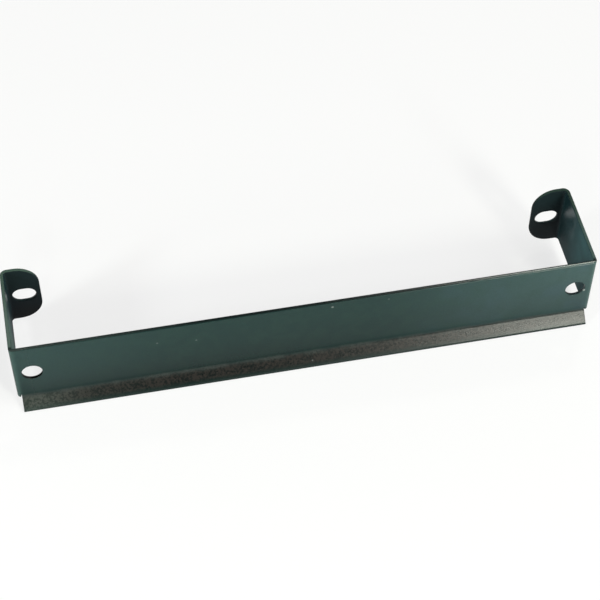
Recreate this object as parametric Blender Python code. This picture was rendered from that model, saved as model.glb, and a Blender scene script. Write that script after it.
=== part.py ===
"""Rack cable management panel for a 10 inch rack, folded from one steel sheet.

A long front panel, a leg bent back at each end, an ear bent inward from each
leg with one rounded slot, and a lip flared forward along the bottom edge.
The flat blank is cut first and then folded along its bend lines.
Lengths are in metres. X runs along the panel, Y points to the rear, Z is up.
"""
import math

import bmesh
import bpy

# Sheet, and the rounding of its cut edges
THICKNESS = 0.0015
EDGE_ROUND = 0.00035

# Front panel, from its top edge to the fold of the lip
WIDTH = 0.254
PANEL_HEIGHT = 0.0323

# Legs, from the panel's front face to the ears' rear face
DEPTH = 0.0445
LEG_OVERHANG = 0.0005
LEG_INSIDE_RADIUS = 0.0003

# Ears and their slots
EAR_INSIDE_RADIUS = 0.0015
EAR_WIDTH = 0.016
EAR_CORNER = 0.0103
SLOT_LENGTH = 0.0104
SLOT_HEIGHT = 0.008
SLOT_INWARD = 0.00075
SLOT_LOWERING = 0.0007

# Round holes in the panel, in front of the slots
HOLE_DIAMETER = 0.0087
HOLE_OUTWARD = 0.0007

# Lip, flared forward along the panel's bottom edge in a softer bend
LIP_LENGTH = 0.0069
LIP_FLARE = math.radians(45)
LIP_INSIDE_RADIUS = 0.002
RELIEF_WIDTH = 0.0003
RELIEF_RISE = 0.0003

# Fineness of the curves
BEND_STEPS = 8
LIP_STEPS = 8
CORNER_STEPS = 14
SLOT_END_STEPS = 16
HOLE_STEPS = 48
EDGE_STEPS = 3
MERGE_DISTANCE = 0.000001

# Places that follow from the sizes above
QUARTER_TURN = math.radians(90)
LEG_MIDDLE_RADIUS = LEG_INSIDE_RADIUS + THICKNESS / 2
LEG_OUTSIDE_RADIUS = LEG_INSIDE_RADIUS + THICKNESS
EAR_MIDDLE_RADIUS = EAR_INSIDE_RADIUS + THICKNESS / 2
EAR_OUTSIDE_RADIUS = EAR_INSIDE_RADIUS + THICKNESS
LEG_HEIGHT = PANEL_HEIGHT + LEG_OVERHANG
LEG_BEND_LENGTH = QUARTER_TURN * LEG_MIDDLE_RADIUS
EAR_BEND_LENGTH = QUARTER_TURN * EAR_MIDDLE_RADIUS
LEG_BEND = WIDTH / 2 - LEG_OUTSIDE_RADIUS
LEG_START = LEG_BEND + LEG_BEND_LENGTH
EAR_BEND = LEG_START + DEPTH - LEG_OUTSIDE_RADIUS - EAR_OUTSIDE_RADIUS
EAR_START = EAR_BEND + EAR_BEND_LENGTH
BLANK_END = EAR_START + EAR_WIDTH - EAR_OUTSIDE_RADIUS
SLOT_INSET = EAR_WIDTH / 2 + SLOT_INWARD
HOLE_INSET = SLOT_INSET - HOLE_OUTWARD
LIP_MIDDLE_RADIUS = LIP_INSIDE_RADIUS + THICKNESS / 2
LIP_BEND_REACH = LIP_INSIDE_RADIUS * math.tan(LIP_FLARE / 2)
LIP_BEND = PANEL_HEIGHT - LIP_BEND_REACH
LIP_BEND_LENGTH = LIP_FLARE * LIP_MIDDLE_RADIUS
BLANK_DROP = LIP_BEND + LIP_BEND_LENGTH + LIP_LENGTH - LIP_BEND_REACH


def arc(centre, radius, start, turn, steps):
    """Points of an arc about a centre, both ends included."""
    angles = [start + turn * step / steps for step in range(steps + 1)]
    return [(centre[0] + radius * math.cos(angle), centre[1] + radius * math.sin(angle)) for angle in angles]


def mirrored(points):
    """The same points on the other side of the panel's middle, in reverse order."""
    return [(-along, up) for along, up in reversed(points)]


def blank_outline():
    """Outer edge of the flat blank: ears, legs, the reliefs and the lip."""
    corner = (BLANK_END - EAR_CORNER, -EAR_CORNER)
    lower_corner = (BLANK_END - EAR_CORNER, EAR_CORNER - LEG_HEIGHT)
    relief_top = RELIEF_RISE - LIP_BEND
    right = [(LEG_BEND, -BLANK_DROP)]
    right.append((LEG_BEND, relief_top))
    right.append((LEG_BEND + RELIEF_WIDTH, relief_top))
    right.append((LEG_BEND + RELIEF_WIDTH, -LEG_HEIGHT))
    right += arc(lower_corner, EAR_CORNER, -QUARTER_TURN, QUARTER_TURN, CORNER_STEPS)
    right += arc(corner, EAR_CORNER, 0, QUARTER_TURN, CORNER_STEPS)
    return right + mirrored(right)


def slot_outline(side):
    """Rounded slot in one ear of the flat blank."""
    middle = side * (EAR_START + SLOT_INSET - EAR_OUTSIDE_RADIUS)
    up = -LEG_HEIGHT / 2 - SLOT_LOWERING
    half_run = (SLOT_LENGTH - SLOT_HEIGHT) / 2
    radius = SLOT_HEIGHT / 2
    right_end = arc((middle + half_run, up), radius, -QUARTER_TURN, 2 * QUARTER_TURN, SLOT_END_STEPS)
    left_end = arc((middle - half_run, up), radius, QUARTER_TURN, 2 * QUARTER_TURN, SLOT_END_STEPS)
    return right_end + left_end


def hole_outline(side):
    """Round hole near one end of the panel, for a screwdriver to reach the slot behind it."""
    centre = (side * (WIDTH / 2 - HOLE_INSET), -LEG_HEIGHT / 2)
    return arc(centre, HOLE_DIAMETER / 2, 0, 4 * QUARTER_TURN, HOLE_STEPS)[:-1]


def flat_blank():
    """The cut sheet before folding, as a mesh: X along, Y up, Z out of the panel's front."""
    curve = bpy.data.curves.new("blank", "CURVE")
    curve.dimensions = "2D"
    curve.fill_mode = "BOTH"
    curve.extrude = THICKNESS / 2
    outlines = [blank_outline()]
    for side in (-1, 1):
        outlines.append(slot_outline(side))
        outlines.append(hole_outline(side))
    for outline in outlines:
        spline = curve.splines.new("POLY")
        spline.points.add(len(outline) - 1)
        for point, (along, up) in zip(spline.points, outline):
            point.co = (along, up, 0, 1)
        spline.use_cyclic_u = True
    drawn = bpy.data.objects.new("blank", curve)
    bpy.context.scene.collection.objects.link(drawn)
    evaluated = drawn.evaluated_get(bpy.context.evaluated_depsgraph_get())
    mesh = bpy.data.meshes.new_from_object(evaluated)
    bpy.data.objects.remove(drawn)
    bpy.data.curves.remove(curve)
    return mesh


def round_edges(sheet):
    """Weld the sheet, and round every cut edge the way a coated edge is."""
    bmesh.ops.remove_doubles(sheet, verts=sheet.verts[:], dist=MERGE_DISTANCE)
    bmesh.ops.dissolve_limit(
        sheet, angle_limit=math.radians(1), verts=sheet.verts[:], edges=sheet.edges[:]
    )
    bmesh.ops.recalc_face_normals(sheet, faces=sheet.faces[:])
    rim = [edge for edge in sheet.edges if edge.calc_face_angle() > QUARTER_TURN / 2 and is_level(edge)]
    bmesh.ops.bevel(
        sheet,
        geom=rim,
        offset=EDGE_ROUND,
        offset_type="OFFSET",
        segments=EDGE_STEPS,
        profile=0.5,
        affect="EDGES",
        clamp_overlap=False,
    )


def is_level(edge):
    """True for an edge that lies in one face of the sheet."""
    return abs(edge.verts[0].co.z - edge.verts[1].co.z) < MERGE_DISTANCE


def cut_at(sheet, axis, place, faces):
    """Cut faces along a line across the sheet, so that it can bend there."""
    origin = [0, 0, 0]
    origin[axis] = place
    normal = [0, 0, 0]
    normal[axis] = 1
    edges = {edge for face in faces for edge in face.edges}
    verts = {vert for face in faces for vert in face.verts}
    bmesh.ops.bisect_plane(
        sheet,
        geom=list(faces) + list(edges) + list(verts),
        dist=MERGE_DISTANCE,
        plane_co=origin,
        plane_no=normal,
    )


def cut_bend_lines(sheet):
    """Lines across the sheet at every step of every bend."""
    for start, length in ((LEG_BEND, LEG_BEND_LENGTH), (EAR_BEND, EAR_BEND_LENGTH)):
        for step in range(BEND_STEPS + 1):
            place = start + length * step / BEND_STEPS
            for side in (-1, 1):
                cut_at(sheet, 0, side * place, sheet.faces[:])
    for step in range(LIP_STEPS + 1):
        place = -LIP_BEND - LIP_BEND_LENGTH * step / LIP_STEPS
        panel = [face for face in sheet.faces if abs(face.calc_center_median().x) < LEG_BEND]
        cut_at(sheet, 1, place, panel)


def bend(along, inward, start, middle_radius, angle):
    """Carry a point round a bend that starts at a place along the sheet.

    Inward is its distance from the sheet's middle, towards the bend's centre.
    """
    reach = along - start
    if reach <= 0:
        return along, inward
    turned = min(reach / middle_radius, angle)
    straight = reach - turned * middle_radius
    radius = middle_radius - inward
    new_along = start + radius * math.sin(turned) + straight * math.cos(turned)
    new_inward = middle_radius - radius * math.cos(turned) + straight * math.sin(turned)
    return new_along, new_inward


def folded(point):
    """Place of a blank's point once the ear, the leg and the lip are bent."""
    side = -1 if point.x < 0 else 1
    along = abs(point.x)
    up = point.y
    inward = -point.z
    on_lip = along < LEG_BEND + RELIEF_WIDTH / 2
    along, inward = bend(along, inward, EAR_BEND, EAR_MIDDLE_RADIUS, QUARTER_TURN)
    along, inward = bend(along, inward, LEG_BEND, LEG_MIDDLE_RADIUS, QUARTER_TURN)
    if on_lip:
        drop, forward = bend(-up, -inward, LIP_BEND, LIP_MIDDLE_RADIUS, LIP_FLARE)
        up, inward = -drop, -forward
    return side * along, inward + THICKNESS / 2, up


def coating():
    """Satin powder coat, green-black."""
    material = bpy.data.materials.new("powder_coat")
    material.use_nodes = True
    shader = material.node_tree.nodes["Principled BSDF"]
    shader.inputs["Base Color"].default_value = (0.045, 0.066, 0.063, 1)
    shader.inputs["Metallic"].default_value = 0
    shader.inputs["Roughness"].default_value = 0.45
    return material


def folded_panel(collection):
    """The whole part, with its origin under the middle of its box, at its lowest edge."""
    mesh = flat_blank()
    mesh.name = "folded_panel"
    sheet = bmesh.new()
    sheet.from_mesh(mesh)
    round_edges(sheet)
    cut_bend_lines(sheet)
    for vert in sheet.verts:
        vert.co = folded(vert.co)
    sheet.to_mesh(mesh)
    sheet.free()
    mesh.materials.clear()
    mesh.materials.append(coating())
    mesh.shade_smooth()
    mesh.set_sharp_from_angle(angle=math.radians(20))
    part = bpy.data.objects.new("folded_panel", mesh)
    depths = [vert.co.y for vert in mesh.vertices]
    heights = [vert.co.z for vert in mesh.vertices]
    part.location = (0, -(min(depths) + max(depths)) / 2, -min(heights))
    collection.objects.link(part)


def main():
    for old in list(bpy.data.objects):
        bpy.data.objects.remove(old)
    collection = bpy.data.collections.new("rack_cable_management_panel")
    bpy.context.scene.collection.children.link(collection)
    folded_panel(collection)


main()
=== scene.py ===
import math

import bpy
from mathutils import Matrix, Vector


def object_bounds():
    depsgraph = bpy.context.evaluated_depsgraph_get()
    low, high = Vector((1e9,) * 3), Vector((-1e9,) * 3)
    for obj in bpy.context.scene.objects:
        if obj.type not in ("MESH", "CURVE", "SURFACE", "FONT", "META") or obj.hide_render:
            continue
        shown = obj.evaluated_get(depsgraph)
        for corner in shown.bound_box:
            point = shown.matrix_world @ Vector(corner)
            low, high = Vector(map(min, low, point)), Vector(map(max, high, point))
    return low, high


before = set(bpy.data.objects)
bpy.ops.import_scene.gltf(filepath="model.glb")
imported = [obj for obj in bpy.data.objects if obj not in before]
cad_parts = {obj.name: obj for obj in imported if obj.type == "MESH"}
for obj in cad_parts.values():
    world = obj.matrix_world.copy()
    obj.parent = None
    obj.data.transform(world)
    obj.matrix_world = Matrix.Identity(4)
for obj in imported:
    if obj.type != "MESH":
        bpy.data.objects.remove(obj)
cad_low, cad_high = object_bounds()

# The sheet, in metres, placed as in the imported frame
WIDTH = cad_high.x - cad_low.x
THICKNESS = 0.0015
STAND_OFF = 0.0445
PANEL_HEIGHT = 0.0323
PANEL_FACE = cad_high.y - STAND_OFF
PANEL_TOP = cad_high.z
PANEL_FOLD = PANEL_TOP - PANEL_HEIGHT

# Round holes in the panel: their middles, and a radius that takes in their rims
HOLE_ALONG = 0.11895
HOLE_UP = 0.02166
HOLE_RIM = 0.005
LEFT_HOLE = (-HOLE_ALONG, PANEL_FACE + THICKNESS / 2, HOLE_UP)
RIGHT_HOLE = (HOLE_ALONG, PANEL_FACE + THICKNESS / 2, HOLE_UP)

# Camera, as shares of the panel's width where it is a length
IMAGE_SIZE = 600
SENSOR = 36.0
FOCAL_PIXELS = 1718.6
AZIMUTH = math.radians(-11.33)
ELEVATION = math.radians(51.6)
ROLL = math.radians(0.285)
DISTANCE_SHARE = 2.8395
AIM_ALONG_SHARE = -0.0159
AIM_UP_SHARE = 0.0205

# Lamps: azimuth and elevation in degrees, distance and size in metres, radiance, colour
LAMP_AIM = (0, 0, 0.02)
LAMPS = {
    "key_right": (26.0, 31.5, 1.2, 0.20, 48.0, (0.98, 1.0, 0.89)),
    "key_right_low": (26.0, 19.0, 1.2, 0.17, 28.0, (0.98, 1.0, 0.91)),
    "key_left": (-19.2, 33.7, 1.04, 0.14, 20.0, (0.92, 1.0, 0.90)),
    "fill_left": (-66.0, 27.0, 1.1, 0.16, 56.0, (0.95, 1.0, 0.97)),
    "back_right": (143.5, 48.5, 1.06, 0.12, 20.0, (0.99, 1.0, 0.91)),
}

# The large soft lamp far away, in degrees
SKY_AZIMUTH = 62
SKY_ELEVATION = 52
SKY_RADIUS = 26
SKY_RADIANCE = 2.0
SKY_SOFTNESS = 0.02

# Light from the surroundings, by how far up a direction of length one points.
# Like every change below, it gives its start and end, and its worth there if that isn't 0 and 1
SURROUNDINGS = (0.2, 0.5, 0.9, 0.06)

# Floor, and how much of its white is its own, to the camera and in reflections
FLOOR_SIZE = 8
FLOOR_COLOUR = (0.93, 0.93, 0.93)
FLOOR_GLOW = 0.72

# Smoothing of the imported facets
WELD_DISTANCE = 0.000001
CORNER_ANGLE = math.radians(60)
LARGE_FACES_FIRST = 100

# Sockets of a node that mixes two colours
MIX_SHARE = 0
MIX_FIRST = 6
MIX_SECOND = 7
MIX_RESULT = 2

# The coat's gloss and grain. A noise gives the size of its features in metres, and then its detail
# and roughness if they aren't the usual ones
SPECULAR_LEVEL = 0.17
GRAIN = (0.0008, 3.0, 0.6)
GRAIN_HEIGHT = 0.00002

# Where the left half turns into the right half
HALVES = (-0.05, 0.05)

# Coat of the panel and of all outer faces: colours, patches, and changes along and up the panel, which are
# painted light and shade
FRONT_DARK = (0.0056, 0.0228, 0.0205)
# Paler coat towards the ends of the panel: painted light
FRONT_PAINTED_LIGHT = (0.0300, 0.0625, 0.0610)
FRONT_BLUE = (0.027, 0.056, 0.072)
FRONT_MOTTLE = (0.014, 0.040, 0.028)
PAINTED_LIGHT_RIGHT = (0.020, WIDTH / 2 + 0.003)
PAINTED_LIGHT_LEFT = (-0.04, -WIDTH / 2, 0.0, 0.30)
PAINTED_LIGHT_NOISE = 0.05
PAINTED_LIGHT_UNEVEN = (0.35, 0.65, 0.8, 1.1)
BLUE_NOISE = 0.018
BLUE_PATCHES = (0.45, 0.70, 0.0, 0.5)
MOTTLE_NOISE = 0.006
MOTTLE_PATCHES = (0.40, 0.65, 0.0, 0.16)
# Lighter towards the top: painted light. Darker near the fold on the left: painted shade
PAINTED_LIGHT_RISE = (PANEL_FOLD, PANEL_TOP, 0.78, 1.12)
PAINTED_SHADE_FOOT = (PANEL_FOLD + 0.016, PANEL_FOLD, 0.0, 0.22)
PAINTED_SHADE_FOOT_TO_LEFT = (0.03, -0.02)
FRONT_GRAIN = (0.3, 0.7, 0.95, 1.05)

# Coat of the legs' inner faces and of the ears' front faces: light teal at the front as painted light;
# darker towards the rear, on the ears and at the left leg's foot as painted shade
LEG_LEFT = (0.030, 0.082, 0.068)
LEG_RIGHT = (0.026, 0.086, 0.092)
LEG_REAR_PAINTED_SHADE = (0.005, 0.022, 0.025)
# Paler coat where the slots' light falls on the legs: painted light
PAINTED_SLOT_LIGHT = (0.026, 0.064, 0.071)
EAR_PAINTED_SHADE = (0.0045, 0.013, 0.015)
EAR_FOOT_PAINTED_SHADE_LEFT = (0.0010, 0.0055, 0.008)
EAR_FOOT_PAINTED_SHADE_RIGHT = (0.0080, 0.0130, 0.0160)
LEG_DARKENING = (-0.008, 0.018)
LEG_NOISE = 0.012
LEG_UNEVEN = (0.3, 0.7, 0.85, 1.15)
LEG_LEFT_FOOT = (0.016, 0.007, 0.0, 0.6)
EAR_START = (0.0222, 0.0230)
EAR_RISE = (0.014, 0.032)
BEHIND_FACE = (PANEL_FACE + 0.0004, PANEL_FACE + 0.0014)
TURNED_INWARD = (-0.05, -0.10)
EAR_ZONE = (0.0214, 0.0224)
EAR_FRONT = (0.2, -0.2)
SLOT_ZONE_UP = (0.018, 0.030)
SLOT_ZONE_FRONT = (0.004, 0.010)
SLOT_ZONE_REAR = (0.0225, 0.0215)
PAINTED_SLOT_LIGHT_SHARE = 0.25

# Painted highlight on the outside of the leg bends, and painted shade on the holes' inner walls
PAINTED_BEND_HIGHLIGHT = (0.050, 0.108, 0.094)
BEND_OUTWARD = (0.1240, 0.1266)
BEND_FORWARD = (-0.012, PANEL_FACE)
BEND_HIGHLIGHT_SHARE = 0.45
# Painted shade on the holes' inner walls, less dark in the right hole
HOLE_WALL_SHADE_LEFT = (0.001, 0.001, 0.001)
HOLE_WALL_SHADE_RIGHT = (0.016, 0.026, 0.027)
RIM_WALL = (0.9, 0.5)
RIM_DEPTH = (-0.0150, -0.0165)

# The lip: below the fold, and in front of the panel's face
# Speckled lip coat: real grain, with the lamps' warm reflection painted in as its browner tone
LIP_DARK = (0.0030, 0.0055, 0.0050)
LIP_BROWN = (0.0185, 0.0160, 0.0140)
LIP_GREEN = (0.0035, 0.013, 0.0115)
# Paler coat at the lip's left end: a painted highlight
LIP_HIGHLIGHT_DARK = (0.024, 0.036, 0.028)
LIP_HIGHLIGHT_LIGHT = (0.076, 0.094, 0.079)
LIP_GRAIN = (0.0010, 2.0, 0.7)
LIP_PATCH_NOISE = 0.004
LIP_PATCH_SHARE = 0.3
LIP_SPECKLES = (0.53, 0.77)
LIP_FOOT = (0.0030, 0.0012)
LIP_HIGHLIGHT_SLOWLY = (-0.060, -0.100, 0.0, 0.08)
LIP_HIGHLIGHT_QUICKLY = (-0.095, -0.125, 0.0, 0.34)
BELOW_FOLD = (PANEL_FOLD + 0.0007, PANEL_FOLD - 0.0004)
BEFORE_FACE = (PANEL_FACE + 0.0004, PANEL_FACE + 0.0001)

# Painted highlight along the bend of the lip: a paler coat that stands in for the bend's reflection
FOLD_HIGHLIGHT = (0.032, 0.039, 0.036)
FOLD_HIGHLIGHT_ABOVE = (PANEL_FOLD + 0.0018, PANEL_FOLD + 0.0004)
FOLD_HIGHLIGHT_BELOW = (PANEL_FOLD - 0.0014, PANEL_FOLD)
FOLD_HIGHLIGHT_NOISE = 0.006
FOLD_HIGHLIGHT_PATCHES = (0.35, 0.65, 0.35, 0.9)
FOLD_HIGHLIGHT_SPOTS = (0.35, 0.6, 0.4, 1.0)

# Top edges: dark and glossy on the panel, the dark being painted shade, with a painted highlight at the
# front of its right end; paler and matt on the legs and ears, the paler coat being a painted highlight
PAINTED_EDGE_SHADE = (0.003, 0.008, 0.008)
PAINTED_EDGE_SHADE_LEFT = (0.016, 0.026, 0.024)
PAINTED_EDGE_HIGHLIGHT = (0.030, 0.060, 0.056)
# Paler coat on the top edges of the legs and ears: a painted highlight, darker towards the rear
LEG_EDGE_HIGHLIGHT_LEFT = (0.082, 0.122, 0.104)
LEG_EDGE_HIGHLIGHT_RIGHT = (0.052, 0.088, 0.079)
LEG_EDGE_HIGHLIGHT_LEFT_REAR = (0.056, 0.094, 0.074)
LEG_EDGE_HIGHLIGHT_RIGHT_REAR = (0.022, 0.044, 0.034)
UPPER_PART = (PANEL_FOLD + 0.0215, PANEL_FOLD + 0.0225)
TURNED_UP = (0.3, 0.8)
BEHIND_PANEL = (PANEL_FACE + 0.0018, PANEL_FACE + 0.0030)
LEG_EDGE_HIGHLIGHT_FORWARD = (0.018, -0.004)
EDGE_TO_LEFT = (-0.03, -0.11)
EDGE_FRONT = (PANEL_FACE + 0.0011, PANEL_FACE + 0.0006)
EDGE_FRONT_TO_RIGHT = (0.05, 0.125)
EDGE_REAR = (PANEL_FACE + 0.0007, PANEL_FACE + 0.0011)

# The coat rounds the panel's top edge further than the steel under it: heights in metres
ROUNDED_FACE = (PANEL_FACE + 0.0009, PANEL_FACE, 0.0, 0.00092)
ROUNDED_TOP = (PANEL_TOP - 0.0006, PANEL_TOP, 0.0, 0.00057)

# Roughness, and what is added to it or taken off
ROUGHNESS = (0.3, 0.7, 0.235, 0.255)
ROUGH_LEFT_END = (-0.118, -0.125, 0.0, 0.2)
EDGE_POLISH = 0.05
EDGE_REAR_ROUGHNESS = 0.3
WORN_ROUGHNESS = 0.35
LEG_ROUGHNESS = 0.45
SLOT_ZONE_POLISH = 0.36
UPPER_LIP = (0.0025, 0.0045)
UPPER_LIP_TO_RIGHT = (0.075, 0.105)
UPPER_LIP_ROUGHNESS = 0.018
LIP_CUT_LINE = (0.0016, 0.0012)
LIP_CUT_ROUGHNESS = 0.3

# Dust specks on the coat, and one painted glint at the edge of the right hole: place, radius in metres and
# how pale
DUST_AND_GLINT = (0.22, 0.25, 0.24)
SPECKS_AND_GLINT = (
    ((0.0101, PANEL_FACE, 0.0350), 0.00035, 0.5),
    ((0.0346, PANEL_FACE, 0.0346), 0.00030, 0.14),
    ((-0.0488, PANEL_FACE, 0.0266), 0.00030, 0.2),
    ((-0.0654, PANEL_FACE, 0.0286), 0.00030, 0.2),
    ((0.0011, -0.0227, 0.0030), 0.00022, 0.35),
    # A painted glint of the right hole's wall, not dust
    ((0.1231, PANEL_FACE, 0.0198), 0.00040, 0.9),
)


class Graph:
    """Short calls for the nodes of a material or a world."""

    def __init__(self, tree):
        self.nodes = tree.nodes
        self.links = tree.links

    def put(self, value, socket):
        """Link a socket, or set a plain number or colour on it."""
        if isinstance(value, bpy.types.NodeSocket):
            self.links.new(value, socket)
        elif isinstance(value, (int, float)):
            socket.default_value = value
        else:
            socket.default_value = (*value, 1)

    def split(self, vector):
        """The three parts of a vector."""
        node = self.nodes.new("ShaderNodeSeparateXYZ")
        self.put(vector, node.inputs["Vector"])
        return node.outputs

    def ramp(self, source, low, high, out_low=0.0, out_high=1.0, kind="SMOOTHSTEP"):
        """Smooth or straight step of a value between two others."""
        step = self.nodes.new("ShaderNodeMapRange")
        step.interpolation_type = kind
        step.inputs["From Min"].default_value = low
        step.inputs["From Max"].default_value = high
        step.inputs["To Min"].default_value = out_low
        step.inputs["To Max"].default_value = out_high
        self.put(source, step.inputs["Value"])
        return step.outputs["Result"]

    def math(self, operation, first, second):
        """Math node on two values."""
        node = self.nodes.new("ShaderNodeMath")
        node.operation = operation
        self.put(first, node.inputs[0])
        self.put(second, node.inputs[1])
        return node.outputs["Value"]

    def plus(self, first, second):
        """Sum of two values."""
        return self.math("ADD", first, second)

    def minus(self, first, second):
        """Difference of two values."""
        return self.math("SUBTRACT", first, second)

    def size_of(self, value):
        """A value without its sign."""
        return self.math("ABSOLUTE", value, 0.0)

    def times(self, first, *others):
        """Product of several values."""
        for other in others:
            first = self.math("MULTIPLY", first, other)
        return first

    def mix(self, share, first, second):
        """Blend of two colours by a share."""
        node = self.nodes.new("ShaderNodeMix")
        node.data_type = "RGBA"
        self.put(share, node.inputs[MIX_SHARE])
        self.put(first, node.inputs[MIX_FIRST])
        self.put(second, node.inputs[MIX_SECOND])
        return node.outputs[MIX_RESULT]

    def scaled(self, colour, factor):
        """Colour times a value."""
        node = self.nodes.new("ShaderNodeVectorMath")
        node.operation = "SCALE"
        self.put(colour, node.inputs[0])
        self.put(factor, node.inputs["Scale"])
        return node.outputs["Vector"]

    def noise(self, place, size, detail=2.0, roughness=0.5):
        """Noise around one half, with features of a size in metres."""
        node = self.nodes.new("ShaderNodeTexNoise")
        node.inputs["Scale"].default_value = 1 / size
        node.inputs["Detail"].default_value = detail
        node.inputs["Roughness"].default_value = roughness
        self.put(place, node.inputs["Vector"])
        return node.outputs["Fac"]

    def near(self, place, spot, radius):
        """One within a radius of a spot, fading to nothing at twice the radius."""
        node = self.nodes.new("ShaderNodeVectorMath")
        node.operation = "DISTANCE"
        self.put(place, node.inputs[0])
        node.inputs[1].default_value = spot
        return self.ramp(node.outputs["Value"], 2 * radius, radius)

    def bump(self, height, distance=1.0, normal=None, invert=False):
        """Normal that follows a height, given in metres or in steps of a distance."""
        node = self.nodes.new("ShaderNodeBump")
        node.invert = invert
        node.inputs["Strength"].default_value = 1
        node.inputs["Distance"].default_value = distance
        self.put(height, node.inputs["Height"])
        if normal:
            self.put(normal, node.inputs["Normal"])
        return node.outputs["Normal"]


class Surface:
    """Places, facings and zones on the coated sheet, as values in a material's graph."""

    def __init__(self, graph):
        self.place = graph.nodes.new("ShaderNodeTexCoord").outputs["Object"]
        self.along, self.depth, self.height = graph.split(self.place)
        normal = graph.nodes.new("ShaderNodeNewGeometry").outputs["Normal"]
        self.facing_along, self.facing_back, self.facing_up = graph.split(normal)
        self.grain = graph.noise(self.place, *GRAIN)
        self.right_half = graph.ramp(self.along, *HALVES)
        self.left_half = graph.minus(1.0, self.right_half)
        self.before_face = graph.ramp(self.depth, *BEFORE_FACE)
        self.behind_face = graph.ramp(self.depth, *BEHIND_FACE)
        self.behind_panel = graph.ramp(self.depth, *BEHIND_PANEL)
        self.lip = graph.times(graph.ramp(self.height, *BELOW_FOLD), self.before_face)
        self.legs = self.find_legs(graph)
        self.slot_zone = self.find_slot_zone(graph)
        high = graph.ramp(self.height, *UPPER_PART)
        self.top_edge = graph.times(high, graph.ramp(self.facing_up, *TURNED_UP))

    def find_legs(self, graph):
        """The legs' inner faces and the ears' front faces."""
        inward = graph.ramp(graph.times(self.along, self.facing_along), *TURNED_INWARD)
        ears = graph.times(graph.ramp(self.depth, *EAR_ZONE), graph.ramp(self.facing_back, *EAR_FRONT))
        return graph.times(self.behind_face, graph.math("MAXIMUM", inward, ears))

    def find_slot_zone(self, graph):
        """The upper rear of the legs, where the slots' light falls."""
        zone = graph.times(graph.ramp(self.height, *SLOT_ZONE_UP), graph.ramp(self.depth, *SLOT_ZONE_FRONT))
        return graph.times(zone, graph.ramp(self.depth, *SLOT_ZONE_REAR))


def make_camera():
    """Camera at the photograph's viewing angle, aimed near the middle of the panel's top edge."""
    back = Vector((
        math.sin(AZIMUTH) * math.cos(ELEVATION),
        -math.cos(AZIMUTH) * math.cos(ELEVATION),
        math.sin(ELEVATION),
    ))
    level_right = Vector((math.cos(AZIMUTH), math.sin(AZIMUTH), 0))
    level_up = back.cross(level_right)
    right = math.cos(ROLL) * level_right + math.sin(ROLL) * level_up
    up = math.cos(ROLL) * level_up - math.sin(ROLL) * level_right
    aim = Vector((AIM_ALONG_SHARE * WIDTH, PANEL_FACE, PANEL_TOP + AIM_UP_SHARE * WIDTH))
    turn = Matrix((right, up, back)).transposed().to_4x4()
    data = bpy.data.cameras.new("camera")
    data.sensor_width = SENSOR
    data.lens = FOCAL_PIXELS / IMAGE_SIZE * SENSOR
    camera = bpy.data.objects.new("camera", data)
    camera.matrix_world = Matrix.Translation(aim + back * DISTANCE_SHARE * WIDTH) @ turn
    bpy.context.scene.collection.objects.link(camera)
    bpy.context.scene.camera = camera


def from_front(azimuth, elevation, distance):
    """Place seen from the part's middle: azimuth in degrees from straight in front, to the right."""
    across = math.radians(azimuth)
    height = math.radians(elevation)
    return (
        distance * math.sin(across) * math.cos(height),
        -distance * math.cos(across) * math.cos(height),
        distance * math.sin(height),
    )


def softbox(name, place, size, radiance, colour):
    """Square area light of a given brightness, facing the part."""
    data = bpy.data.lights.new(name, "AREA")
    data.shape = "SQUARE"
    data.size = size
    data.color = colour
    data.energy = radiance * math.pi * size * size
    lamp = bpy.data.objects.new(name, data)
    lamp.location = place
    lamp.rotation_euler = (Vector(LAMP_AIM) - Vector(place)).to_track_quat("-Z", "Y").to_euler()
    bpy.context.scene.collection.objects.link(lamp)


def make_lights():
    """Small softboxes round the part."""
    for name, (azimuth, elevation, distance, size, radiance, colour) in LAMPS.items():
        softbox(name, from_front(azimuth, elevation, distance), size, radiance, colour)


def make_world():
    """Pale low surroundings that turn dim higher up, and one large soft lamp far away on the right."""
    world = bpy.data.worlds.new("studio")
    bpy.context.scene.world = world
    world.use_nodes = True
    graph = Graph(world.node_tree)
    graph.nodes.clear()
    towards = graph.nodes.new("ShaderNodeTexCoord").outputs["Generated"]
    surroundings = graph.ramp(graph.split(towards)["Z"], *SURROUNDINGS)
    turned = graph.nodes.new("ShaderNodeVectorMath")
    turned.operation = "DOT_PRODUCT"
    turned.inputs[1].default_value = from_front(SKY_AZIMUTH, SKY_ELEVATION, 1)
    graph.put(towards, turned.inputs[0])
    rim = math.cos(math.radians(SKY_RADIUS))
    lamp = graph.ramp(turned.outputs["Value"], rim - SKY_SOFTNESS, rim + SKY_SOFTNESS, 0.0, SKY_RADIANCE)
    room = graph.nodes.new("ShaderNodeBackground")
    out = graph.nodes.new("ShaderNodeOutputWorld")
    graph.put(graph.plus(surroundings, lamp), room.inputs["Color"])
    graph.put(room.outputs["Background"], out.inputs["Surface"])


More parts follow.
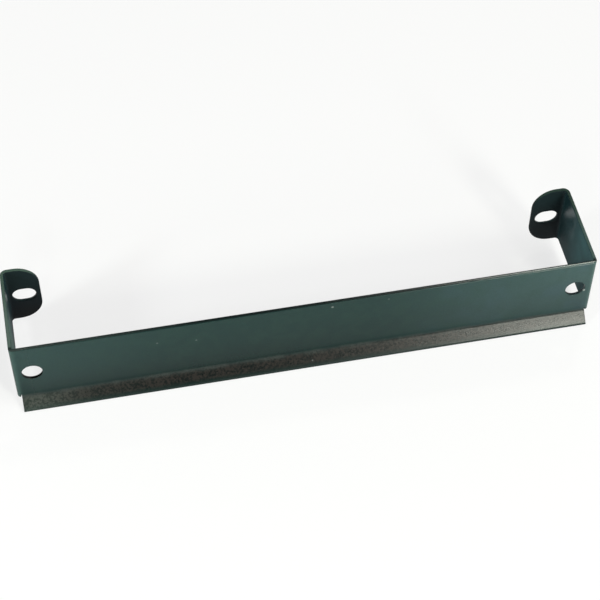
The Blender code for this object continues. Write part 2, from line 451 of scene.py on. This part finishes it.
def make_floor():
    """White floor under the part. It keeps the part's shadow."""
    bpy.ops.mesh.primitive_plane_add(size=FLOOR_SIZE)
    floor = bpy.context.object
    floor.name = "floor"
    material = bpy.data.materials.new("floor")
    material.use_nodes = True
    graph = Graph(material.node_tree)
    shader = graph.nodes["Principled BSDF"]
    graph.put(FLOOR_COLOUR, shader.inputs["Base Color"])
    shader.inputs["Roughness"].default_value = 1
    shader.inputs["Specular IOR Level"].default_value = 0
    rays = graph.nodes.new("ShaderNodeLightPath").outputs
    seen = graph.plus(rays["Is Camera Ray"], rays["Is Glossy Ray"])
    seen = graph.plus(seen, rays["Is Transmission Ray"])
    white = graph.nodes.new("ShaderNodeEmission")
    both = graph.nodes.new("ShaderNodeMixShader")
    graph.put(graph.times(seen, FLOOR_GLOW), both.inputs[0])
    graph.put(shader.outputs["BSDF"], both.inputs[1])
    graph.put(white.outputs["Emission"], both.inputs[2])
    graph.put(both.outputs["Shader"], graph.nodes["Material Output"].inputs["Surface"])
    floor.data.materials.append(material)


def shade_by_angle():
    """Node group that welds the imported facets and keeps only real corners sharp."""
    group = bpy.data.node_groups.new("shade_by_angle", "GeometryNodeTree")
    group.interface.new_socket("Geometry", in_out="INPUT", socket_type="NodeSocketGeometry")
    group.interface.new_socket("Geometry", in_out="OUTPUT", socket_type="NodeSocketGeometry")
    nodes = group.nodes
    links = group.links
    start = nodes.new("NodeGroupInput")
    weld = nodes.new("GeometryNodeMergeByDistance")
    weld.inputs["Distance"].default_value = WELD_DISTANCE
    smooth = nodes.new("GeometryNodeSetShadeSmooth")
    angle = nodes.new("GeometryNodeInputMeshEdgeAngle")
    corner = nodes.new("FunctionNodeCompare")
    corner.data_type = "FLOAT"
    corner.operation = "GREATER_THAN"
    corner.inputs["B"].default_value = CORNER_ANGLE
    sharp = nodes.new("GeometryNodeSetShadeSmooth")
    sharp.domain = "EDGE"
    sharp.inputs["Shade Smooth"].default_value = False
    end = nodes.new("NodeGroupOutput")
    links.new(start.outputs[0], weld.inputs["Geometry"])
    links.new(weld.outputs["Geometry"], smooth.inputs["Geometry"])
    links.new(smooth.outputs["Geometry"], sharp.inputs["Geometry"])
    links.new(angle.outputs["Unsigned Angle"], corner.inputs["A"])
    links.new(corner.outputs["Result"], sharp.inputs["Selection"])
    links.new(sharp.outputs["Geometry"], end.inputs[0])
    return group


def front_coat(graph, sheet):
    """Teal coat of the panel and of all outer faces, paler towards the ends as painted light, lighter
    towards the top as painted light, and darker near the fold on the left as painted shade.
    """
    # Painted light: the coat turns paler, unevenly, towards both ends
    right = graph.ramp(sheet.along, *PAINTED_LIGHT_RIGHT)
    left = graph.ramp(sheet.along, *PAINTED_LIGHT_LEFT)
    uneven = graph.ramp(graph.noise(sheet.place, PAINTED_LIGHT_NOISE), *PAINTED_LIGHT_UNEVEN)
    coat = graph.mix(graph.times(graph.plus(right, left), uneven), FRONT_DARK, FRONT_PAINTED_LIGHT)
    blue = graph.ramp(graph.noise(sheet.place, BLUE_NOISE), *BLUE_PATCHES)
    coat = graph.mix(graph.times(blue, right), coat, FRONT_BLUE)
    mottled = graph.ramp(graph.noise(sheet.place, MOTTLE_NOISE), *MOTTLE_PATCHES)
    coat = graph.mix(mottled, coat, FRONT_MOTTLE)
    # Painted light and shade: lighter towards the top, darker near the fold on the left
    painted_light_and_shade = graph.ramp(sheet.height, *PAINTED_LIGHT_RISE)
    dim = graph.times(graph.ramp(sheet.height, *PAINTED_SHADE_FOOT), graph.ramp(sheet.along, *PAINTED_SHADE_FOOT_TO_LEFT))
    painted_light_and_shade = graph.times(painted_light_and_shade, graph.minus(1.0, dim))
    fine = graph.ramp(sheet.grain, *FRONT_GRAIN)
    return graph.scaled(coat, graph.times(painted_light_and_shade, fine))


def leg_coat(graph, sheet):
    """Coat of the legs' inner faces and the ears: light teal at the front as painted light, darker towards
    the rear, on the ears and at the left leg's foot as painted shade.
    """
    uneven = graph.ramp(graph.noise(sheet.place, LEG_NOISE), *LEG_UNEVEN)
    # Painted light at the front of the legs, painted shade towards the rear and on the ears
    coat = graph.mix(sheet.right_half, LEG_LEFT, LEG_RIGHT)
    coat = graph.mix(graph.ramp(sheet.depth, *LEG_DARKENING), coat, LEG_REAR_PAINTED_SHADE)
    ear_foot = graph.mix(sheet.right_half, EAR_FOOT_PAINTED_SHADE_LEFT, EAR_FOOT_PAINTED_SHADE_RIGHT)
    painted_ear_shade = graph.mix(graph.ramp(sheet.height, *EAR_RISE), ear_foot, EAR_PAINTED_SHADE)
    coat = graph.mix(graph.ramp(sheet.depth, *EAR_START), coat, painted_ear_shade)
    # Painted shade: darker towards the foot of the left leg
    left_foot = graph.times(graph.ramp(sheet.height, *LEG_LEFT_FOOT), sheet.left_half)
    return graph.scaled(coat, graph.times(uneven, graph.minus(1.0, left_foot)))


def paint_bend_highlight(graph, sheet, coat):
    """Paler coat on the outside of the bends between panel and legs: a painted highlight."""
    outward = graph.ramp(graph.size_of(sheet.along), *BEND_OUTWARD)
    painted_highlight = graph.times(outward, graph.ramp(sheet.depth, *BEND_FORWARD), BEND_HIGHLIGHT_SHARE)
    return graph.mix(painted_highlight, coat, PAINTED_BEND_HIGHLIGHT)


def hole_walls(graph, sheet, coat):
    """Darker coat on the inner walls of the panel's holes: painted shade, less dark in the right hole."""
    left = graph.near(sheet.place, LEFT_HOLE, HOLE_RIM)
    right = graph.near(sheet.place, RIGHT_HOLE, HOLE_RIM)
    wall = graph.ramp(graph.size_of(sheet.facing_back), *RIM_WALL)
    rim = graph.times(graph.math("MAXIMUM", left, right), wall, graph.ramp(sheet.depth, *RIM_DEPTH))
    return graph.mix(rim, coat, graph.mix(sheet.right_half, HOLE_WALL_SHADE_LEFT, HOLE_WALL_SHADE_RIGHT))


def lip_coat(graph, sheet):
    """Grainier coat of the lip, browner as painted reflection, greener along its lower edge and paler at
    its left end as a painted highlight.
    """
    fine = graph.noise(sheet.place, *LIP_GRAIN)
    soft = graph.times(graph.noise(sheet.place, LIP_PATCH_NOISE), LIP_PATCH_SHARE)
    speckled = graph.ramp(graph.plus(fine, soft), *LIP_SPECKLES)
    # Brown speckle: grain, with the lamps' warm reflection painted in
    coat = graph.mix(speckled, LIP_DARK, LIP_BROWN)
    coat = graph.mix(graph.ramp(sheet.height, *LIP_FOOT), coat, LIP_GREEN)
    # Painted highlight: paler towards the lip's left end
    slowly = graph.ramp(sheet.along, *LIP_HIGHLIGHT_SLOWLY, kind="LINEAR")
    quickly = graph.ramp(sheet.along, *LIP_HIGHLIGHT_QUICKLY)
    pale = graph.mix(speckled, LIP_HIGHLIGHT_DARK, LIP_HIGHLIGHT_LIGHT)
    return graph.mix(graph.plus(slowly, quickly), coat, pale)


def paint_fold_highlight(graph, sheet, coat):
    """Paler coat along the bend between panel and lip: a painted highlight of the bend."""
    above = graph.ramp(sheet.height, *FOLD_HIGHLIGHT_ABOVE)
    below = graph.ramp(sheet.height, *FOLD_HIGHLIGHT_BELOW)
    patchy = graph.ramp(graph.noise(sheet.place, FOLD_HIGHLIGHT_NOISE), *FOLD_HIGHLIGHT_PATCHES)
    spotty = graph.ramp(sheet.grain, *FOLD_HIGHLIGHT_SPOTS)
    fold_highlight = graph.times(above, below, sheet.before_face, patchy, spotty)
    return graph.mix(fold_highlight, coat, FOLD_HIGHLIGHT)


def edge_coat(graph, sheet):
    """Coat of the top edges: dark on the panel as painted shade, greener at the front of its right end as a
    painted highlight, and paler on the legs and ears as a painted highlight.
    """
    # Painted highlight on the top edges of the legs and ears
    painted_highlight = graph.mix(sheet.right_half, LEG_EDGE_HIGHLIGHT_LEFT, LEG_EDGE_HIGHLIGHT_RIGHT)
    painted_highlight_rear = graph.mix(sheet.right_half, LEG_EDGE_HIGHLIGHT_LEFT_REAR, LEG_EDGE_HIGHLIGHT_RIGHT_REAR)
    painted_highlight = graph.mix(graph.ramp(sheet.depth, *LEG_EDGE_HIGHLIGHT_FORWARD), painted_highlight_rear, painted_highlight)
    # Painted shade on the panel's top edge, with a painted highlight at the front of its right end
    dark = graph.mix(graph.ramp(sheet.along, *EDGE_TO_LEFT), PAINTED_EDGE_SHADE, PAINTED_EDGE_SHADE_LEFT)
    front = graph.times(graph.ramp(sheet.depth, *EDGE_FRONT), graph.ramp(sheet.along, *EDGE_FRONT_TO_RIGHT))
    dark = graph.mix(front, dark, PAINTED_EDGE_HIGHLIGHT)
    return graph.mix(sheet.behind_panel, dark, painted_highlight)


def coat_colour(graph, sheet):
    """Colour of the coat everywhere on the sheet."""
    coat = graph.mix(sheet.legs, front_coat(graph, sheet), leg_coat(graph, sheet))
    # Painted light: paler coat where the slots' light falls on the legs
    coat = graph.mix(graph.times(sheet.legs, sheet.slot_zone, PAINTED_SLOT_LIGHT_SHARE), coat, PAINTED_SLOT_LIGHT)
    # Painted highlight on the outside of the leg bends
    coat = paint_bend_highlight(graph, sheet, coat)
    # Painted shade on the inner walls of the holes
    coat = hole_walls(graph, sheet, coat)
    # The lip's browner coat: the lamps' warm reflection painted in
    coat = graph.mix(sheet.lip, coat, lip_coat(graph, sheet))
    # Painted highlight along the bend of the lip
    coat = paint_fold_highlight(graph, sheet, coat)
    # Painted shade and highlights on the top edges
    coat = graph.mix(sheet.top_edge, coat, edge_coat(graph, sheet))
    # Dust specks, and one painted glint at the edge of the right hole
    for spot, radius, share in SPECKS_AND_GLINT:
        coat = graph.mix(graph.times(graph.near(sheet.place, spot, radius), share), coat, DUST_AND_GLINT)
    return coat


def coat_roughness(graph, sheet):
    """Roughness of the coat: satin, rougher on the legs and on their top edges."""
    rough = graph.ramp(sheet.grain, *ROUGHNESS)
    left_end = graph.times(graph.ramp(sheet.along, *ROUGH_LEFT_END), graph.minus(1.0, sheet.behind_face))
    rough = graph.plus(rough, left_end)
    rough = graph.minus(rough, graph.times(sheet.top_edge, EDGE_POLISH))
    rough = graph.plus(rough, graph.times(sheet.top_edge, sheet.behind_panel, WORN_ROUGHNESS))
    on_legs = graph.minus(LEG_ROUGHNESS, graph.times(sheet.slot_zone, SLOT_ZONE_POLISH))
    rough = graph.plus(rough, graph.times(sheet.legs, on_legs))
    rear = graph.times(graph.ramp(sheet.depth, *EDGE_REAR), sheet.top_edge)
    rear = graph.times(rear, graph.minus(1.0, sheet.behind_panel))
    rough = graph.plus(rough, graph.times(rear, EDGE_REAR_ROUGHNESS))
    upper_lip = graph.times(sheet.lip, graph.ramp(sheet.height, *UPPER_LIP))
    upper_lip = graph.times(upper_lip, graph.ramp(sheet.along, *UPPER_LIP_TO_RIGHT))
    rough = graph.plus(rough, graph.times(upper_lip, UPPER_LIP_ROUGHNESS))
    cut_line = graph.times(graph.ramp(sheet.height, *LIP_CUT_LINE), sheet.before_face)
    return graph.plus(rough, graph.times(cut_line, LIP_CUT_ROUGHNESS))


def coat_relief(graph, sheet):
    """Fine grain, and the coat's own rounding of the panel's top edge."""
    grained = graph.bump(sheet.grain, GRAIN_HEIGHT)
    face_side = graph.times(graph.ramp(sheet.depth, *ROUNDED_FACE, kind="LINEAR"), sheet.top_edge)
    top_side = graph.ramp(sheet.height, *ROUNDED_TOP, kind="LINEAR")
    return graph.bump(graph.plus(face_side, top_side), normal=grained, invert=True)


def powder_coat():
    """Satin green-black powder coat, grainier on the lip and browner there as painted reflection; light and
    shade are painted into its colour in other places too.
    """
    material = bpy.data.materials.new("powder_coat")
    material.use_nodes = True
    graph = Graph(material.node_tree)
    sheet = Surface(graph)
    shader = graph.nodes["Principled BSDF"]
    shader.inputs["Specular IOR Level"].default_value = SPECULAR_LEVEL
    graph.put(coat_colour(graph, sheet), shader.inputs["Base Color"])
    graph.put(coat_roughness(graph, sheet), shader.inputs["Roughness"])
    graph.put(coat_relief(graph, sheet), shader.inputs["Normal"])
    return material


def dress_panel():
    """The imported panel, smoothed and coated."""
    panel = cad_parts["folded_panel"]
    panel.data.materials.clear()
    panel.data.materials.append(powder_coat())
    weld = panel.modifiers.new("shade_by_angle", "NODES")
    weld.node_group = shade_by_angle()
    even = panel.modifiers.new("even_normals", "WEIGHTED_NORMAL")
    even.keep_sharp = True
    even.weight = LARGE_FACES_FIRST


bpy.context.scene.view_settings.view_transform = "Standard"
make_camera()
make_world()
make_lights()
make_floor()
dress_panel()
